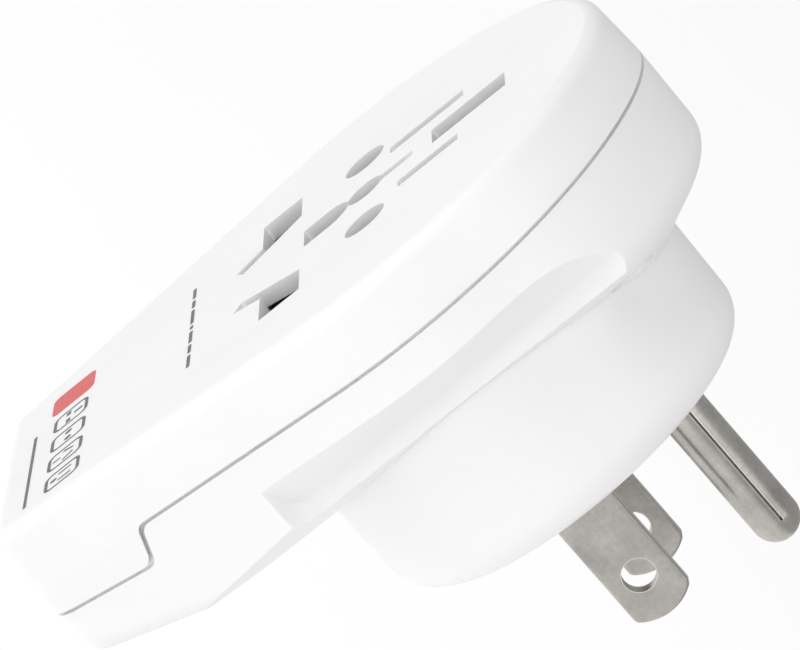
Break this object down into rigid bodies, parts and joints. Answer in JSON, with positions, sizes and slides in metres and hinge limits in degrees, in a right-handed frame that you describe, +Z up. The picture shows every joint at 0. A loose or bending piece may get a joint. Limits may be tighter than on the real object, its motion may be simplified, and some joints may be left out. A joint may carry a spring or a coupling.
{
  "type": "travel adapter",
  "caption": "Multi-standard mains socket in a flat teardrop housing over a round grounded two-blade plug, with a sprung safety shutter behind the socket holes.",
  "frame": {"origin": "midway between the two blades on the plug's mating face", "axes": "+Y out of the mating face along the blades, the socket face looking along -Y; +Z up the long axis, from the narrow end to the round end and the ground pin; +X across, to the right as seen from the socket side"},
  "size_m": [0.0562, 0.0509, 0.0714],
  "materials": {
    "white_plastic": "satin moulded polycarbonate",
    "black_plastic": "matt moulded nylon",
    "grey_insulator": "matt moulded plastic",
    "nickel_plate": "satin nickel plate on brass",
    "contact_bronze": "stamped phosphor bronze",
    "spring_steel": "zinc-plated steel"
  },
  "bodies": {
    "housing": {"blade_retainer": "grey_insulator", "contact_carrier": "black_plastic", "earth_link": "contact_bronze", "earth_rivet": "contact_bronze", "earth_uk_clip": "contact_bronze", "earth_us_clip": "contact_bronze", "ground_pin": "nickel_plate", "housing_screws": "spring_steel", "left_blade": "nickel_plate", "left_bus": "contact_bronze", "left_euro_clip": "contact_bronze", "left_shutter_spring": "spring_steel", "left_uk_clip": "contact_bronze", "left_us_clip": "contact_bronze", "lower_housing": "white_plastic", "plug_body": "white_plastic", "retainer_screws": "spring_steel", "right_blade": "nickel_plate", "right_bus": "contact_bronze", "right_euro_clip": "contact_bronze", "right_shutter_spring": "spring_steel", "right_uk_clip": "contact_bronze", "right_us_clip": "contact_bronze", "terminal_rivets": "contact_bronze", "top_cover": "white_plastic"},
    "shutter": {"shutter": "black_plastic"}
  },
  "joints": [
    {"name": "shutter_slide", "type": "slide", "parent": "housing", "child": "shutter", "axis": [0, 0, 1], "range_m": [0, 0.0082], "stiffness_N_per_m": 60, "springref_m": -0.004, "deforming": ["left_shutter_spring", "right_shutter_spring"]}
  ]
}
